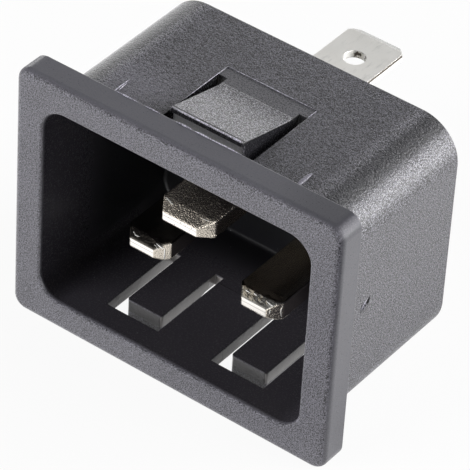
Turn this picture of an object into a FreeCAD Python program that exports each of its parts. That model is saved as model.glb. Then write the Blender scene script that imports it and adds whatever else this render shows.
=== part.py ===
"""Snap-in appliance inlet with three flat blades: one moulded housing and three metal contacts.

Millimetres, +Z up.  The origin is the middle of the flange's rear face, which is the
face that seats on the panel.  The socket mouth looks along -Y, the tabs point along +Y
and +X is to the right of someone who looks into the socket.
"""
import os

import FreeCAD
import Part

os.makedirs("parts", exist_ok=True)

# Flange, which overhangs the body by its rim on all four sides
FLANGE_RIM = 1.8
FLANGE_THICKNESS = 2.9
FLANGE_CORNER_RADIUS = 1.5
FLANGE_EDGE_RADIUS = 0.7

# Body behind the panel
BODY_WIDTH = 33.0
BODY_HEIGHT = 24.8
BODY_DEPTH = 17.9
BODY_CORNER_RADIUS = 4.25
WALL = 1.4
BASE_THICKNESS = 1.7

# Socket
SOCKET_CORNER_RADIUS = 2.5
SOCKET_MOUTH_RADIUS = 0.35
SOCKET_FLOOR_RADIUS = 0.4

# Latches: a window in the wall with an arm that is rooted at its rear end
WINDOW_LENGTH = 10.1
TOP_WINDOW_WIDTH = 10.1
BOTTOM_WINDOW_WIDTH = 6.1
BOTTOM_WINDOW_OFFSET = 6.15
ARM_SIDE_GAP = 1.0
ARM_FRONT_GAP = 1.85
ARM_CORNER_RADIUS = 0.3
NOSE_HEIGHT = 1.7
NOSE_LIP_GAP = 1.5
NOSE_LIP_HEIGHT = 0.55
NOSE_EDGE_RADIUS = 0.15
RAMP_END = 9.2
RECESS_LENGTH = 1.35
RECESS_DEPTH = 0.1

# Break-off mark of the moulding gate on the right side wall
GATE_MARK_CENTRE = (4.65, 0.25)
GATE_MARK_LENGTH = 1.7
GATE_MARK_WIDTH = 0.6
GATE_MARK_DEPTH = 0.15
GATE_MARK_ANGLE = 32.0

# Contacts
BLADE_THICKNESS = 2.0
BLADE_EDGE_RADIUS = 0.2
PAIR_BLADE_WIDTH = 4.9
EARTH_BLADE_WIDTH = 6.0
PAIR_SPACING = 13.0
PAIR_HEIGHT = -3.6
EARTH_HEIGHT = 4.65
PAIR_TIP_RECESS = 4.3
EARTH_TIP_RECESS = 1.15
TIP_FACE_THICKNESS = 1.0
TIP_SIDE_CUT = 1.05
PAIR_TIP_SIDE_LENGTH = 1.4
PAIR_TIP_BEVEL_LENGTH = 0.95
EARTH_TIP_SIDE_LENGTH = 1.55
EARTH_TIP_BEVEL_LENGTH = 1.45

# Tabs and the plate that joins each one to its blade
TAB_WIDTH = 6.3
TAB_THICKNESS = 0.8
TAB_END = 29.0
TAB_JOG = 3.3
TAB_CORNER_CUT = 0.95
TAB_BEVEL_LENGTH = 0.6
TAB_BEVEL_DEPTH = 0.25
TAB_HOLE_DIAMETER = 2.2
TAB_HOLE_FROM_END = 4.25
PLATE_THICKNESS = 1.0

# Collar around each plate on the rear of the base
COLLAR_WALL = 1.0
COLLAR_HEIGHT = 1.6
COLLAR_CLEARANCE = 0.3

# Allowance by which a cutting tool runs past the face that it cuts
CUT_MARGIN = 1.0

# Distance below which two positions count as the same
TOUCH = 1e-3

FLANGE_FRONT = -FLANGE_THICKNESS
FLANGE_WIDTH = BODY_WIDTH + 2 * FLANGE_RIM
FLANGE_HEIGHT = BODY_HEIGHT + 2 * FLANGE_RIM
SOCKET_FLOOR = BODY_DEPTH - BASE_THICKNESS
SOCKET_WIDTH = BODY_WIDTH - 2 * WALL
SOCKET_HEIGHT = BODY_HEIGHT - 2 * WALL
BODY_TOP = BODY_HEIGHT / 2
SOCKET_TOP = SOCKET_HEIGHT / 2


def polygon(points):
    """Flat face inside a closed run of points."""
    corners = [FreeCAD.Vector(*point) for point in points]
    return Part.Face(Part.makePolygon(corners + corners[:1]))


def box(low, high):
    """Block between two opposite corners."""
    size = [b - a for a, b in zip(low, high)]
    return Part.makeBox(*size, FreeCAD.Vector(*low))


def rounded_block(width, height, radius, front, rear):
    """Block along Y with its four long edges rounded."""
    block = box((-width / 2, front, -height / 2), (width / 2, rear, height / 2))
    long_edges = [edge for edge in block.Edges if runs_along(edge, 1)]
    return block.makeFillet(radius, long_edges)


def runs_along(edge, axis):
    """True for an edge whose two ends differ in one coordinate only."""
    first, last = edge.Vertexes[0].Point, edge.Vertexes[-1].Point
    spans = [abs(last[i] - first[i]) for i in range(3)]
    return spans[axis] > 0 and sum(spans) - spans[axis] < TOUCH


def lies_at(edge, y):
    """True for an edge whose whole length has one Y."""
    return abs(edge.BoundBox.YMin - y) + abs(edge.BoundBox.YMax - y) < TOUCH


def edges_in_plane(shape, y):
    """Edges of a shape that lie wholly in one plane across Y."""
    return [edge for edge in shape.Edges if lies_at(edge, y)]


def make_flange():
    """Plain plate with rounded corners and a softened front rim."""
    plate = rounded_block(FLANGE_WIDTH, FLANGE_HEIGHT, FLANGE_CORNER_RADIUS, FLANGE_FRONT, 0)
    return plate.makeFillet(FLANGE_EDGE_RADIUS, edges_in_plane(plate, FLANGE_FRONT))


def make_socket_tool():
    """Hollow of the socket: its rounded floor, its walls and the softened mouth."""
    hollow = rounded_block(SOCKET_WIDTH, SOCKET_HEIGHT, SOCKET_CORNER_RADIUS, FLANGE_FRONT, SOCKET_FLOOR)
    hollow = hollow.makeFillet(SOCKET_FLOOR_RADIUS, edges_in_plane(hollow, SOCKET_FLOOR))
    return hollow.fuse(make_mouth_tool())


def make_mouth_tool():
    """Ring that rounds the rim of the mouth, as a plate with a filleted waist cut away."""
    grown = 2 * SOCKET_MOUTH_RADIUS
    rim_end = FLANGE_FRONT + SOCKET_MOUTH_RADIUS
    slab = rounded_block(
        SOCKET_WIDTH + grown,
        SOCKET_HEIGHT + grown,
        SOCKET_CORNER_RADIUS + SOCKET_MOUTH_RADIUS,
        FLANGE_FRONT,
        rim_end,
    )
    ring_block = rounded_block(
        SOCKET_WIDTH + 2 * grown,
        SOCKET_HEIGHT + 2 * grown,
        SOCKET_CORNER_RADIUS + grown,
        FLANGE_FRONT,
        rim_end + CUT_MARGIN,
    )
    core = rounded_block(
        SOCKET_WIDTH,
        SOCKET_HEIGHT,
        SOCKET_CORNER_RADIUS,
        FLANGE_FRONT - CUT_MARGIN,
        rim_end + 2 * CUT_MARGIN,
    )
    ring = ring_block.cut(core)
    inner_rim = [edge for edge in edges_in_plane(ring, FLANGE_FRONT) if within_mouth(edge)]
    ring = ring.makeFillet(SOCKET_MOUTH_RADIUS, inner_rim)
    return slab.cut(ring)


def within_mouth(edge):
    """True for an edge of the socket's own outline."""
    reach = max(abs(edge.BoundBox.XMin), abs(edge.BoundBox.XMax))
    rise = max(abs(edge.BoundBox.ZMin), abs(edge.BoundBox.ZMax))
    return reach < SOCKET_WIDTH / 2 + TOUCH and rise < SOCKET_HEIGHT / 2 + TOUCH


def is_front_post(edge):
    """True for the upright edges at the front end of a latch arm."""
    return runs_along(edge, 2) and lies_at(edge, ARM_FRONT_GAP)


def make_latch(centre_x, window_width):
    """Window cutter, outside recess cutter and sprung arm of one latch in the top wall."""
    half_window = window_width / 2
    half_arm = half_window - ARM_SIDE_GAP
    recess_floor = BODY_TOP - RECESS_DEPTH
    window = box(
        (centre_x - half_window, 0, SOCKET_TOP - CUT_MARGIN),
        (centre_x + half_window, WINDOW_LENGTH, BODY_TOP + CUT_MARGIN),
    )
    recess = box(
        (centre_x - half_window, WINDOW_LENGTH, recess_floor),
        (centre_x + half_window, WINDOW_LENGTH + RECESS_LENGTH, BODY_TOP + CUT_MARGIN),
    )
    nose_top = BODY_TOP + NOSE_HEIGHT
    lip_bottom = nose_top - NOSE_LIP_HEIGHT
    side_profile = polygon(
        [
            (centre_x - half_arm, WINDOW_LENGTH, SOCKET_TOP),
            (centre_x - half_arm, WINDOW_LENGTH, recess_floor),
            (centre_x - half_arm, RAMP_END, recess_floor),
            (centre_x - half_arm, NOSE_LIP_GAP, nose_top),
            (centre_x - half_arm, NOSE_LIP_GAP, lip_bottom),
            (centre_x - half_arm, ARM_FRONT_GAP, lip_bottom),
            (centre_x - half_arm, ARM_FRONT_GAP, SOCKET_TOP),
        ]
    )
    arm = side_profile.extrude(FreeCAD.Vector(2 * half_arm, 0, 0))
    arm = arm.makeFillet(ARM_CORNER_RADIUS, [edge for edge in arm.Edges if is_front_post(edge)])
    crest = [edge for edge in arm.Edges if edge.BoundBox.ZMax > nose_top - TOUCH]
    return window, recess, arm.makeFillet(NOSE_EDGE_RADIUS, crest)


def turned_over(shape):
    """The same shape turned half a turn about the Y axis, from the top wall to the bottom wall."""
    copy = shape.copy()
    copy.rotate(FreeCAD.Vector(0, 0, 0), FreeCAD.Vector(0, 1, 0), 180)
    return copy


def make_latches():
    """The wide latch of the top wall and the two narrow ones of the bottom wall."""
    top = make_latch(0, TOP_WINDOW_WIDTH)
    left = make_latch(BOTTOM_WINDOW_OFFSET, BOTTOM_WINDOW_WIDTH)
    right = make_latch(-BOTTOM_WINDOW_OFFSET, BOTTOM_WINDOW_WIDTH)
    return [top] + [tuple(turned_over(shape) for shape in latch) for latch in (left, right)]


def make_gate_mark_tool():
    """Shallow pointed dent on the right side wall."""
    half_length = GATE_MARK_LENGTH / 2
    half_width = GATE_MARK_WIDTH / 2
    wall_x = BODY_WIDTH / 2
    outline = polygon(
        [
            (wall_x - GATE_MARK_DEPTH, -half_length, 0),
            (wall_x - GATE_MARK_DEPTH, half_width, -half_width),
            (wall_x - GATE_MARK_DEPTH, half_length, half_width),
            (wall_x - GATE_MARK_DEPTH, -half_width, half_width),
        ]
    )
    tool = outline.extrude(FreeCAD.Vector(GATE_MARK_DEPTH + CUT_MARGIN, 0, 0))
    tool.rotate(FreeCAD.Vector(0, 0, 0), FreeCAD.Vector(1, 0, 0), GATE_MARK_ANGLE)
    tool.translate(FreeCAD.Vector(0, *GATE_MARK_CENTRE))
    return tool


def contact_layout():
    """Name, centre, blade size, tip and side of the tab for each contact."""
    pair = {
        "width": PAIR_BLADE_WIDTH,
        "height": PAIR_HEIGHT,
        "tip": FLANGE_FRONT + PAIR_TIP_RECESS,
        "side_length": PAIR_TIP_SIDE_LENGTH,
        "bevel_length": PAIR_TIP_BEVEL_LENGTH,
        "tab_side": -1,
    }
    earth = {
        "width": EARTH_BLADE_WIDTH,
        "height": EARTH_HEIGHT,
        "tip": FLANGE_FRONT + EARTH_TIP_RECESS,
        "side_length": EARTH_TIP_SIDE_LENGTH,
        "bevel_length": EARTH_TIP_BEVEL_LENGTH,
        "tab_side": 1,
    }
    return {
        "left_contact": dict(pair, x=-PAIR_SPACING / 2),
        "right_contact": dict(pair, x=PAIR_SPACING / 2),
        "earth_contact": dict(earth, x=0),
    }


def plate_span(contact):
    """Lowest and highest level of a contact's joining plate."""
    blade_edge = contact["height"] - contact["tab_side"] * BLADE_THICKNESS / 2
    tab_edge = contact["height"] + contact["tab_side"] * (TAB_JOG + TAB_THICKNESS / 2)
    return min(blade_edge, tab_edge), max(blade_edge, tab_edge)


def make_blade(contact):
    """Flat bar with rounded edges; its tip is cut back at both sides and bevelled above and below."""
    half_width = contact["width"] / 2
    half_thickness = BLADE_THICKNESS / 2
    tip = contact["tip"]
    plan = polygon(
        [
            (-half_width + TIP_SIDE_CUT, tip, -half_thickness),
            (half_width - TIP_SIDE_CUT, tip, -half_thickness),
            (half_width, tip + contact["side_length"], -half_thickness),
            (half_width, BODY_DEPTH, -half_thickness),
            (-half_width, BODY_DEPTH, -half_thickness),
            (-half_width, tip + contact["side_length"], -half_thickness),
        ]
    ).extrude(FreeCAD.Vector(0, 0, BLADE_THICKNESS))
    side = polygon(
        [
            (-half_width, tip, -TIP_FACE_THICKNESS / 2),
            (-half_width, tip + contact["bevel_length"], -half_thickness),
            (-half_width, BODY_DEPTH, -half_thickness),
            (-half_width, BODY_DEPTH, half_thickness),
            (-half_width, tip + contact["bevel_length"], half_thickness),
            (-half_width, tip, TIP_FACE_THICKNESS / 2),
        ]
    ).extrude(FreeCAD.Vector(2 * half_width, 0, 0))
    blade = plan.common(side)
    free_edges = [edge for edge in blade.Edges if not lies_at(edge, BODY_DEPTH)]
    blade = blade.makeFillet(BLADE_EDGE_RADIUS, free_edges)
    blade.translate(FreeCAD.Vector(contact["x"], 0, contact["height"]))
    return blade


def make_tab(contact):
    """Flat tab with a round hole, cut corners and a bevelled end."""
    half_width = TAB_WIDTH / 2
    half_thickness = TAB_THICKNESS / 2
    start = BODY_DEPTH
    plan = polygon(
        [
            (-half_width, start, -half_thickness),
            (half_width, start, -half_thickness),
            (half_width, TAB_END - TAB_CORNER_CUT, -half_thickness),
            (half_width - TAB_CORNER_CUT, TAB_END, -half_thickness),
            (-half_width + TAB_CORNER_CUT, TAB_END, -half_thickness),
            (-half_width, TAB_END - TAB_CORNER_CUT, -half_thickness),
        ]
    ).extrude(FreeCAD.Vector(0, 0, TAB_THICKNESS))
    side = polygon(
        [
            (-half_width, start, -half_thickness),
            (-half_width, TAB_END - TAB_BEVEL_LENGTH, -half_thickness),
            (-half_width, TAB_END, -half_thickness + TAB_BEVEL_DEPTH),
            (-half_width, TAB_END, half_thickness - TAB_BEVEL_DEPTH),
            (-half_width, TAB_END - TAB_BEVEL_LENGTH, half_thickness),
            (-half_width, start, half_thickness),
        ]
    ).extrude(FreeCAD.Vector(TAB_WIDTH, 0, 0))
    hole = Part.makeCylinder(
        TAB_HOLE_DIAMETER / 2,
        TAB_THICKNESS + 2 * CUT_MARGIN,
        FreeCAD.Vector(0, TAB_END - TAB_HOLE_FROM_END, -half_thickness - CUT_MARGIN),
        FreeCAD.Vector(0, 0, 1),
    )
    tab = plan.common(side).cut(hole)
    level = contact["height"] + contact["tab_side"] * TAB_JOG
    tab.translate(FreeCAD.Vector(contact["x"], 0, level))
    return tab


def make_contact(contact):
    """Blade, joining plate and tab as one piece of metal."""
    low, high = plate_span(contact)
    half_width = TAB_WIDTH / 2
    plate = box(
        (contact["x"] - half_width, BODY_DEPTH, low),
        (contact["x"] + half_width, BODY_DEPTH + PLATE_THICKNESS, high),
    )
    return make_blade(contact).fuse([plate, make_tab(contact)]).removeSplitter()


def make_blade_hole(contact):
    """Cutter for the hole of the base that the blade is pressed into."""
    front, rear = SOCKET_FLOOR - CUT_MARGIN, BODY_DEPTH + CUT_MARGIN
    tool = rounded_block(contact["width"], BLADE_THICKNESS, BLADE_EDGE_RADIUS, front, rear)
    tool.translate(FreeCAD.Vector(contact["x"], 0, contact["height"]))
    return tool


def make_collar(contact):
    """Raised frame on the rear of the base around a contact's joining plate."""
    low, high = plate_span(contact)
    inner_half = TAB_WIDTH / 2 + COLLAR_CLEARANCE
    outer_half = inner_half + COLLAR_WALL
    inner_low, inner_high = low - COLLAR_CLEARANCE, high + COLLAR_CLEARANCE
    outer = box(
        (contact["x"] - outer_half, BODY_DEPTH, inner_low - COLLAR_WALL),
        (contact["x"] + outer_half, BODY_DEPTH + COLLAR_HEIGHT, inner_high + COLLAR_WALL),
    )
    inner = box(
        (contact["x"] - inner_half, BODY_DEPTH - CUT_MARGIN, inner_low),
        (contact["x"] + inner_half, BODY_DEPTH + COLLAR_HEIGHT + CUT_MARGIN, inner_high),
    )
    return outer.cut(inner)


def make_housing(contacts):
    """The moulding: flange, body, socket, three latches and the base with its collars."""
    shell = rounded_block(BODY_WIDTH, BODY_HEIGHT, BODY_CORNER_RADIUS, FLANGE_FRONT / 2, BODY_DEPTH)
    shell = shell.fuse(make_flange()).cut(make_socket_tool())
    latches = make_latches()
    openings = [shape for window, recess, arm in latches for shape in (window, recess)]
    shell = shell.cut(openings)
    shell = shell.fuse([arm for window, recess, arm in latches])
    shell = shell.fuse([make_collar(contact) for contact in contacts])
    shell = shell.cut([make_blade_hole(contact) for contact in contacts])
    return shell.cut(make_gate_mark_tool()).removeSplitter()


def main():
    """Build every piece and write one file for each."""
    layout = contact_layout()
    pieces = {name: make_contact(contact) for name, contact in layout.items()}
    pieces["housing"] = make_housing(list(layout.values()))
    for name, shape in pieces.items():
        bounds = shape.BoundBox
        print(
            f"{name}: solids {len(shape.Solids)}, valid {shape.isValid()}, volume {shape.Volume:.2f}, "
            f"x {bounds.XMin:.2f} {bounds.XMax:.2f}, y {bounds.YMin:.2f} {bounds.YMax:.2f}, "
            f"z {bounds.ZMin:.2f} {bounds.ZMax:.2f}"
        )
        shape.exportStep(f"parts/{name}.step")


main()
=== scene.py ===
"""Snap-in appliance inlet: the moulded housing and its three contacts, finished and lit.

Metres, +Z up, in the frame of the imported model: the origin is the middle of the flange's
rear face, the socket mouth looks along -Y and the tabs point along +Y.
"""
import math
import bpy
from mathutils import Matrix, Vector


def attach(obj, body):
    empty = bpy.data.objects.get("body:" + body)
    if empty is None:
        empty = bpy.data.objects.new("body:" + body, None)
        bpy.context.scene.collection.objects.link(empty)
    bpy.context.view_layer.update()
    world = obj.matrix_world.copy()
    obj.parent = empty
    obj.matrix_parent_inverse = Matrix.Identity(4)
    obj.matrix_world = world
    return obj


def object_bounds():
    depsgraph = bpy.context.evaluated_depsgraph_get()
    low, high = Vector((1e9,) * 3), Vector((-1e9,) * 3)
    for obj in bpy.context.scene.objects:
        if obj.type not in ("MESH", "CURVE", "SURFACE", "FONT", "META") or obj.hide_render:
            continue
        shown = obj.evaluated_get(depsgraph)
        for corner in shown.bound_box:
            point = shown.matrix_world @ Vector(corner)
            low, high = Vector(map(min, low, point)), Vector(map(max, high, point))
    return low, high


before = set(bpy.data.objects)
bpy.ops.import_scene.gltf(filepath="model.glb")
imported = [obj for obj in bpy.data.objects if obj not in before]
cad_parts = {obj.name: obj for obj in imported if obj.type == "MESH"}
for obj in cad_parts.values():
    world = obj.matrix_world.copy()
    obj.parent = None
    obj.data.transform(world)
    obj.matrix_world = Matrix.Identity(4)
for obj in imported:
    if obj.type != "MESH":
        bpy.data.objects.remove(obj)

from types import SimpleNamespace

import bpy
import numpy as np
from bpy.props import FloatProperty, FloatVectorProperty, PointerProperty
from bpy.types import Operator, Panel, PropertyGroup
from mathutils import Matrix, Vector

bl_info = {
    "name": "Appliance inlet",
    "version": (1, 0, 0),
    "blender": (4, 5, 0),
    "location": "3D View > Sidebar > Inlet",
    "description": "Finishes, fine pieces and stage of a snap-in appliance inlet",
    "category": "Object",
}

CAD_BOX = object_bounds()
MM = 0.001

BODY = "root"
PLASTIC_SLOT = "black_plastic"
METAL_SLOT = "plated_metal"
HOUSING = "housing"
CONTACTS = ("left_contact", "right_contact", "earth_contact")

# Places on the model that the finishes follow, in millimetres
SOCKET_HALF_WIDTH = 15.1
SOCKET_HALF_HEIGHT = 11.0
FLANGE_FRONT = -2.9
FLANGE_HALF_WIDTH = 18.3
FLANGE_HALF_HEIGHT = 14.2
BODY_HALF_WIDTH = 16.5
BODY_TOP = 12.4
BODY_REAR = 17.9
ARM_HALF_WIDTH = 4.05
ARM_FRONT = 1.85
NOSE_FRONT = 1.5
NOSE_GROOVE = 1.8
LIP_BOTTOM = 13.55
RAMP_BEND = 5.5
RAMP_END = 9.2
WINDOW_END = 10.1
WINDOW_HALF_WIDTH = 5.05
SLOTS_END = 9.25
GATE_FRONT = 3.6
GATE_REAR = 5.4
GATE_HALF_HEIGHT = 1.6
PAIR_HEIGHT = -3.6
EARTH_HEIGHT = 4.65
SEAM_RISE = 0.12
TIP_RADIUS = 0.30
TAB_TOP = 8.35

# Colours that parts of the plastic turn to.  The pale nose post and slot walls are painted
# light and the dark depth of the socket is painted shade, for light and shade in this camera's
# view, not another plastic; most of the others are painted light and shade too, as said over each.
PALE_SPECK = (0.35, 0.35, 0.36)
# Pale edges: partly rubbed plastic, partly painted highlight
EDGE_WEAR_AND_HIGHLIGHT = (0.16, 0.16, 0.17)
# Painted shade: a dark band where the body's rounded edges meet its top
PAINTED_SHOULDER_SHADE = (0.008, 0.008, 0.010)
# Pale grains of the spark texture, stronger on the ramp, sides and rounded edges as painted glints
GRAIN_AND_PAINTED_GLINT = (0.42, 0.42, 0.44)
# Painted shade in the groove behind the nose
PAINTED_GROOVE_SHADE = (0.010, 0.010, 0.012)
# Painted light on the flange's top
FLANGE_TOP_PAINTED_LIGHT = (0.10, 0.10, 0.115)
# Painted shade that darkens the flange's top towards the right
FLANGE_TOP_RIGHT_PAINTED_SHADE = (0.015, 0.015, 0.020)
# Painted shade on the flange's end faces
FLANGE_END_PAINTED_SHADE = (0.022, 0.022, 0.028)
# Painted shade in the dent that the gate leaves
PAINTED_GATE_SHADE = (0.008, 0.008, 0.009)
# The smooth recess behind the ramp, painted lighter as sheen
SMOOTH_RECESS_PAINTED_SHEEN = (0.19, 0.19, 0.20)
# Painted shade on the upright faces of the latch and the front of the nose's lip
LATCH_SIDE_PAINTED_SHADE = (0.012, 0.012, 0.014)
NOSE_POST = (0.29, 0.29, 0.30)
SLOT_WALL = (0.30, 0.285, 0.28)
# Painted light on the front ends of the arms in the slots
ARM_END_PAINTED_LIGHT = (0.08, 0.078, 0.08)
# The socket's inside: painted shade, darker from the mouth to the depth and the left wall
SOCKET_MOUTH = (0.048, 0.045, 0.054, 1.0)
SOCKET_DEPTH = (0.009, 0.009, 0.011, 1.0)
SOCKET_SPECK = (0.40, 0.40, 0.42)

# Colours that parts of the plating turn to, several of them painted light and shade, and
# shades of the plating's own colour
# Painted shade on the bevels of the two flat blades' tips
PAIR_BEVEL = (0.42, 0.41, 0.38)
# Painted light on the blades' front faces
BLADE_FRONT_PAINTED_LIGHT = (0.80, 0.77, 0.73)
BLADE_SEAM = (0.20, 0.18, 0.16)
# Painted highlight along the sharp edges
PAINTED_EDGE_HIGHLIGHT = (0.90, 0.88, 0.84)
# Sheared sides and the hole's wall in the tabs: sheared metal, painted darker as shade
SHEARED_SIDE_AND_SHADE = (0.13, 0.115, 0.10)
# Painted shade on the bevel at the tabs' ends
TAB_REAR_BEVEL_SHADE = (0.38, 0.38, 0.37)
BLADE_SHADE = np.array((0.66, 0.61, 0.54))
WARM_SHADE = (0.95, 0.94, 0.92)
DULL_SHADE = (0.66, 0.67, 0.66)

# Relief of the plastic: depth of the nose's groove and of thin flash, in metres, and how fast
# the ramp curves beyond its bend, per metre
GROOVE_DEPTH = 0.11 * MM
FLASH_DEPTH = 0.01 * MM
RAMP_CURVE = 26.0

# How strongly the plastic bends light
PLASTIC_IOR = 1.52

WHITE = (1.0, 1.0, 1.0, 1.0)

# Floor: share of it that glows for the camera, the same in reflections, and the least for any ray
FLOOR_GLOW_IN_VIEW = 0.93
FLOOR_GLOW_IN_MIRROR = 0.60
FLOOR_GLOW_LEAST = 0.30

# Walls and ceiling in reflections: sines of the heights where the wall ends and the ceiling
# starts, the ceiling's brightness at the right, and how much brighter the wall is at the right
# and at its foot at the far left
WALL_END = math.sin(math.radians(10))
CEILING_START = math.sin(math.radians(28))
CEILING_START_RIGHT = math.sin(math.radians(33))
CEILING_LEVEL_RIGHT = 0.03
WALL_RIGHT_GAIN = 4.0
WALL_FOOT_GAIN = 0.9

# Lamps, in metres: direction from the object, distance, width and height
RIGHT_LAMP = ((0.85, 0.48, 0.36), 0.8, 0.7, 0.62)
FRONT_LAMP = ((-0.50, -0.85, 0.30), 0.9, 0.7, 0.5)
REAR_LAMP = ((-0.40, 0.88, 0.17), 0.9, 1.2, 0.28)

# Camera: width of the sensor in millimetres, nearest and farthest view in metres
SENSOR_WIDTH = 36.0
CAMERA_CLIP = (0.01, 50.0)

# Thin raised lines: sides of the tube, length of a step, fewest rings, and rate and start of
# each sine that swells them
BEAD_SIDES = 12
BEAD_STEP = 0.04 * MM
BEAD_LEAST_ROWS = 8
SWELLS = ((37.0, 1.0), (71.0, 0.0), (113.0, 2.0))
UPWARDS = (0.0, 0.0, 1.0)
RIGHTWARDS = (1.0, 0.0, 0.0)
REARWARDS_UP = (0.0, 0.7071, 0.7071)
PAIR_BEVEL_OUT = (0.0, -0.466, 0.885)
EARTH_BEVEL_OUT = (0.0, -0.326, 0.945)
TIP_SIDE_OUT = (0.8, -0.6, 0.0)

# Thin lines and flakes that the mould leaves, in millimetres: name, corners, half width, height,
# raggedness, lean to one side, direction of the face
MOULD_MARKS = (
    ("left_insert_edge", ((-10.6, 4.05, 12.4), (-10.6, 1.2, 12.4)),
     0.06, 0.08, 0.3, 0.0, UPWARDS),
    ("left_insert_seam", ((-10.45, 3.4, 12.4), (-10.35, 2.0, 12.4)),
     0.05, 0.07, 0.3, 0.0, UPWARDS),
    ("flange_flash_left", ((-9.0, -0.03, 14.2), (-6.5, -0.03, 14.2)),
     0.07, 0.07, 0.4, 0.0, REARWARDS_UP),
    ("flange_flash_corner", ((-5.7, -0.03, 14.2), (-3.9, -0.03, 14.2)),
     0.07, 0.07, 0.4, 0.0, REARWARDS_UP),
    ("right_insert_edge", ((10.1, 3.9, 12.4), (10.15, 1.2, 12.4)),
     0.20, 0.10, 0.15, 0.9, UPWARDS),
    ("flange_flash_thick", ((-2.2, -0.03, 14.2), (-0.4, -0.03, 14.2)),
     0.10, 0.10, 0.4, 0.0, REARWARDS_UP),
    ("flange_flash_middle", ((-0.1, -0.03, 14.2), (1.6, -0.03, 14.2)),
     0.12, 0.10, 0.4, 0.0, REARWARDS_UP),
    ("flange_flash_thin", ((1.2, -0.02, 14.2), (5.2, -0.02, 14.2)),
     0.07, 0.07, 0.4, 0.0, REARWARDS_UP),
    ("window_flash_left", ((-5.05, 5.0, 12.4), (-5.05, 11.5, 12.4)),
     0.035, 0.05, 0.5, 0.0, UPWARDS),
    ("recess_flash_rear", ((-5.1, 11.46, 12.4), (5.1, 11.46, 12.4)),
     0.03, 0.035, 0.5, 0.0, UPWARDS),
    ("recess_flash_right", ((5.06, 11.5, 12.4), (5.06, 10.1, 12.4)),
     0.04, 0.04, 0.5, 0.0, UPWARDS),
    ("nose_flash", ((-3.95, 1.59, 14.05), (3.95, 1.59, 14.05)),
     0.07, 0.075, 0.5, 0.0, UPWARDS),
    ("nose_flash_end", ((2.6, 1.56, 14.06), (3.95, 1.56, 14.05)),
     0.10, 0.10, 0.6, 0.0, UPWARDS),
    ("gate_flake_low", ((16.40, 3.98, -0.10), (16.42, 4.18, 0.02)),
     0.06, 0.08, 0.3, 0.3, RIGHTWARDS),
    ("gate_flake_middle", ((16.40, 4.34, -0.04), (16.42, 4.56, 0.10)),
     0.07, 0.10, 0.3, -0.3, RIGHTWARDS),
    ("gate_flake_high", ((16.40, 4.56, 0.30), (16.42, 4.74, 0.16)),
     0.06, 0.10, 0.3, 0.3, RIGHTWARDS),
    ("gate_rim", ((16.5, 3.88, 0.02), (16.5, 4.22, 0.46), (16.5, 4.75, 0.80)),
     0.06, 0.05, 0.4, 0.0, RIGHTWARDS),
)

# Burrs and ridges that coining leaves on the tips of the blades, in the same columns
COINED_RIDGES = (
    ("left_tip_ridge_rear", ((-7.95, 2.05, -2.76), (-7.7, 1.9, -2.84)),
     0.08, 0.07, 0.4, 0.0, PAIR_BEVEL_OUT),
    ("left_tip_ridge_middle", ((-7.7, 1.85, -2.86), (-7.1, 1.85, -2.86)),
     0.10, 0.08, 0.3, 0.0, PAIR_BEVEL_OUT),
    ("left_tip_ridge_right", ((-5.3, 2.05, -2.76), (-4.3, 1.92, -2.83)),
     0.12, 0.10, 0.2, 0.0, PAIR_BEVEL_OUT),
    ("left_tip_ridge_low", ((-5.05, 1.75, -2.92), (-4.65, 1.67, -2.96)),
     0.05, 0.05, 0.3, 0.0, PAIR_BEVEL_OUT),
    ("left_tip_ridge_thin", ((-5.35, 1.84, -2.87), (-5.05, 1.80, -2.89)),
     0.04, 0.05, 0.3, 0.0, PAIR_BEVEL_OUT),
    ("left_tip_ridge_upright", ((-4.44, 2.28, -3.1), (-4.44, 2.28, -4.5)),
     0.08, 0.06, 0.2, 0.0, TIP_SIDE_OUT),
    ("right_tip_ridge_corner", ((5.0, 2.1, -2.74), (5.6, 2.08, -2.75)),
     0.10, 0.09, 0.3, 0.0, PAIR_BEVEL_OUT),
    ("right_tip_ridge_rear", ((5.95, 2.18, -2.69), (6.35, 2.12, -2.72)),
     0.11, 0.10, 0.3, 0.0, PAIR_BEVEL_OUT),
    ("right_tip_ridge_right", ((7.4, 2.1, -2.74), (8.4, 1.95, -2.81)),
     0.11, 0.10, 0.5, 0.0, PAIR_BEVEL_OUT),
    ("right_tip_ridge_upright", ((8.86, 2.68, -2.9), (8.76, 2.55, -3.5), (8.83, 2.64, -4.3)),
     0.06, 0.06, 0.4, 0.0, TIP_SIDE_OUT),
    ("right_tip_ridge_front", ((8.16, 1.75, -3.15), (8.11, 1.68, -3.7)),
     0.05, 0.05, 0.3, 0.0, TIP_SIDE_OUT),
    ("earth_tip_scratch", ((-2.6, -0.42, 5.61), (-1.5, -0.75, 5.50)),
     0.08, 0.08, 0.3, 0.0, EARTH_BEVEL_OUT),
    ("earth_tip_burr", ((1.7, -0.65, 5.53), (2.5, -0.53, 5.57)),
     0.04, 0.05, 0.6, 0.0, EARTH_BEVEL_OUT),
)


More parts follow.
